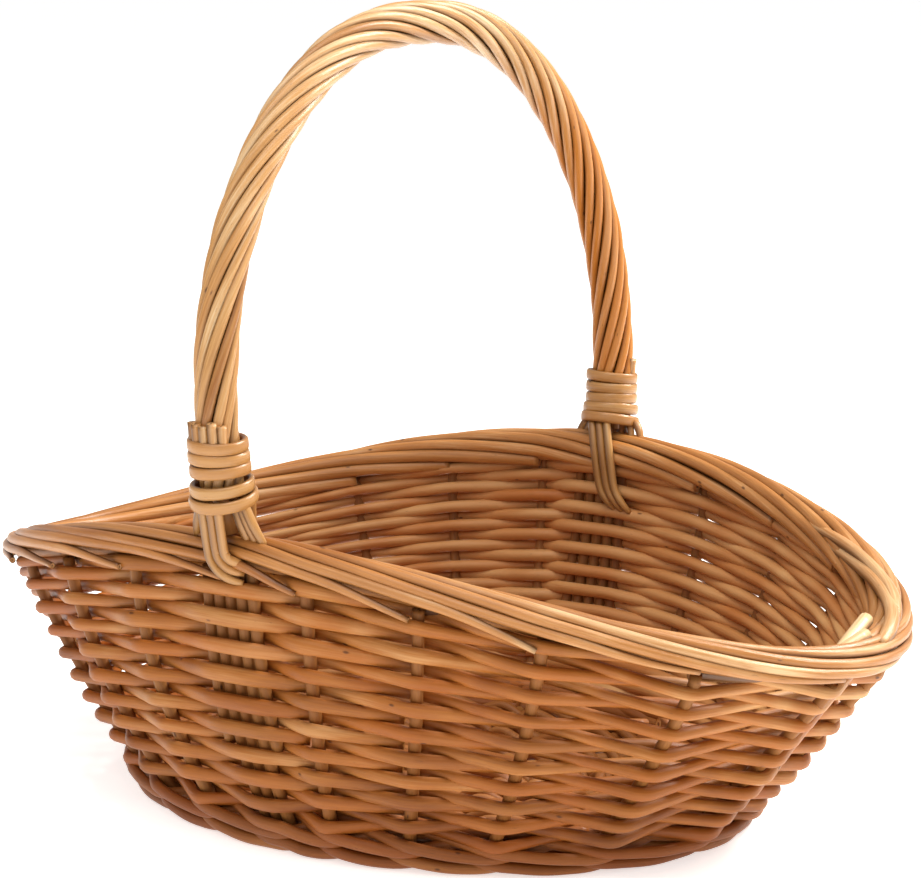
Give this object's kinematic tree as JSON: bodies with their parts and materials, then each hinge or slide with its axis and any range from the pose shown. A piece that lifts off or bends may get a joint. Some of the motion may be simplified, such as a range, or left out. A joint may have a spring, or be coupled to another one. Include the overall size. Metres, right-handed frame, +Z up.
{
  "type": "oval willow egg collection basket",
  "caption": "Oval woven willow basket with flared sides, a saddle-shaped rolled border and a fixed roped bow handle bound at both feet.",
  "frame": {"origin": "middle of the base's underside, on the ground", "axes": "+X along the basket's length, +Y across it from the front side to the back side, +Z up; the bow handle stands in the YZ plane"},
  "size_m": [0.443, 0.3227, 0.3492],
  "materials": {
    "base_sticks": "satin buff willow",
    "base_weave": "satin buff willow",
    "stakes": "satin buff willow",
    "handle_liners": "satin buff willow",
    "upsett": "satin buff willow",
    "siding": "satin buff willow",
    "border_core": "satin buff willow",
    "border": "satin buff willow",
    "bow": "satin buff willow",
    "rope": "satin buff willow",
    "binding": "satin buff willow",
    "foot_rods": "satin buff willow",
    "cut_ends": "satin buff willow"
  },
  "bodies": {
    "root": {"base_long_sticks": "base_sticks", "base_cross_sticks": "base_sticks", "base_weave_upper": "base_weave", "base_weave_lower": "base_weave", "stakes_front_right": "stakes", "stakes_back_right": "stakes", "stakes_back_left": "stakes", "stakes_front_left": "stakes", "handle_liners_front": "handle_liners", "handle_liners_back": "handle_liners", "upsett_row_1": "upsett", "upsett_row_2": "upsett", "weave_row_1": "siding", "weave_row_2": "siding", "weave_row_3": "siding", "weave_row_4": "siding", "weave_row_5": "siding", "weave_row_6": "siding", "weave_row_7": "siding", "weave_row_8": "siding", "weave_row_9": "siding", "weave_row_10": "siding", "weave_row_11": "siding", "weave_row_12": "siding", "weave_row_13": "siding", "weave_row_14": "siding", "weave_row_15": "siding", "weave_row_16": "siding", "weave_row_17": "siding", "weave_row_18": "siding", "weave_row_19": "siding", "border_core": "border_core", "border_rods_front_right": "border", "border_rods_back_right": "border", "border_rods_back_left": "border", "border_rods_front_left": "border", "bow_rod": "bow", "rope_strand_1": "rope", "rope_strand_2": "rope", "rope_strand_3": "rope", "rope_strand_4": "rope", "rope_strand_5": "rope", "rope_strand_6": "rope", "rope_strand_7": "rope", "rope_strand_8": "rope", "rope_strand_9": "rope", "rope_strand_10": "rope", "binding_front": "binding", "binding_back": "binding", "foot_rods_front_outer": "foot_rods", "foot_rods_front_inner": "foot_rods", "foot_rods_back_outer": "foot_rods", "foot_rods_back_inner": "foot_rods", "cut_ends_front": "cut_ends", "cut_ends_back": "cut_ends"}
  },
  "joints": []
}
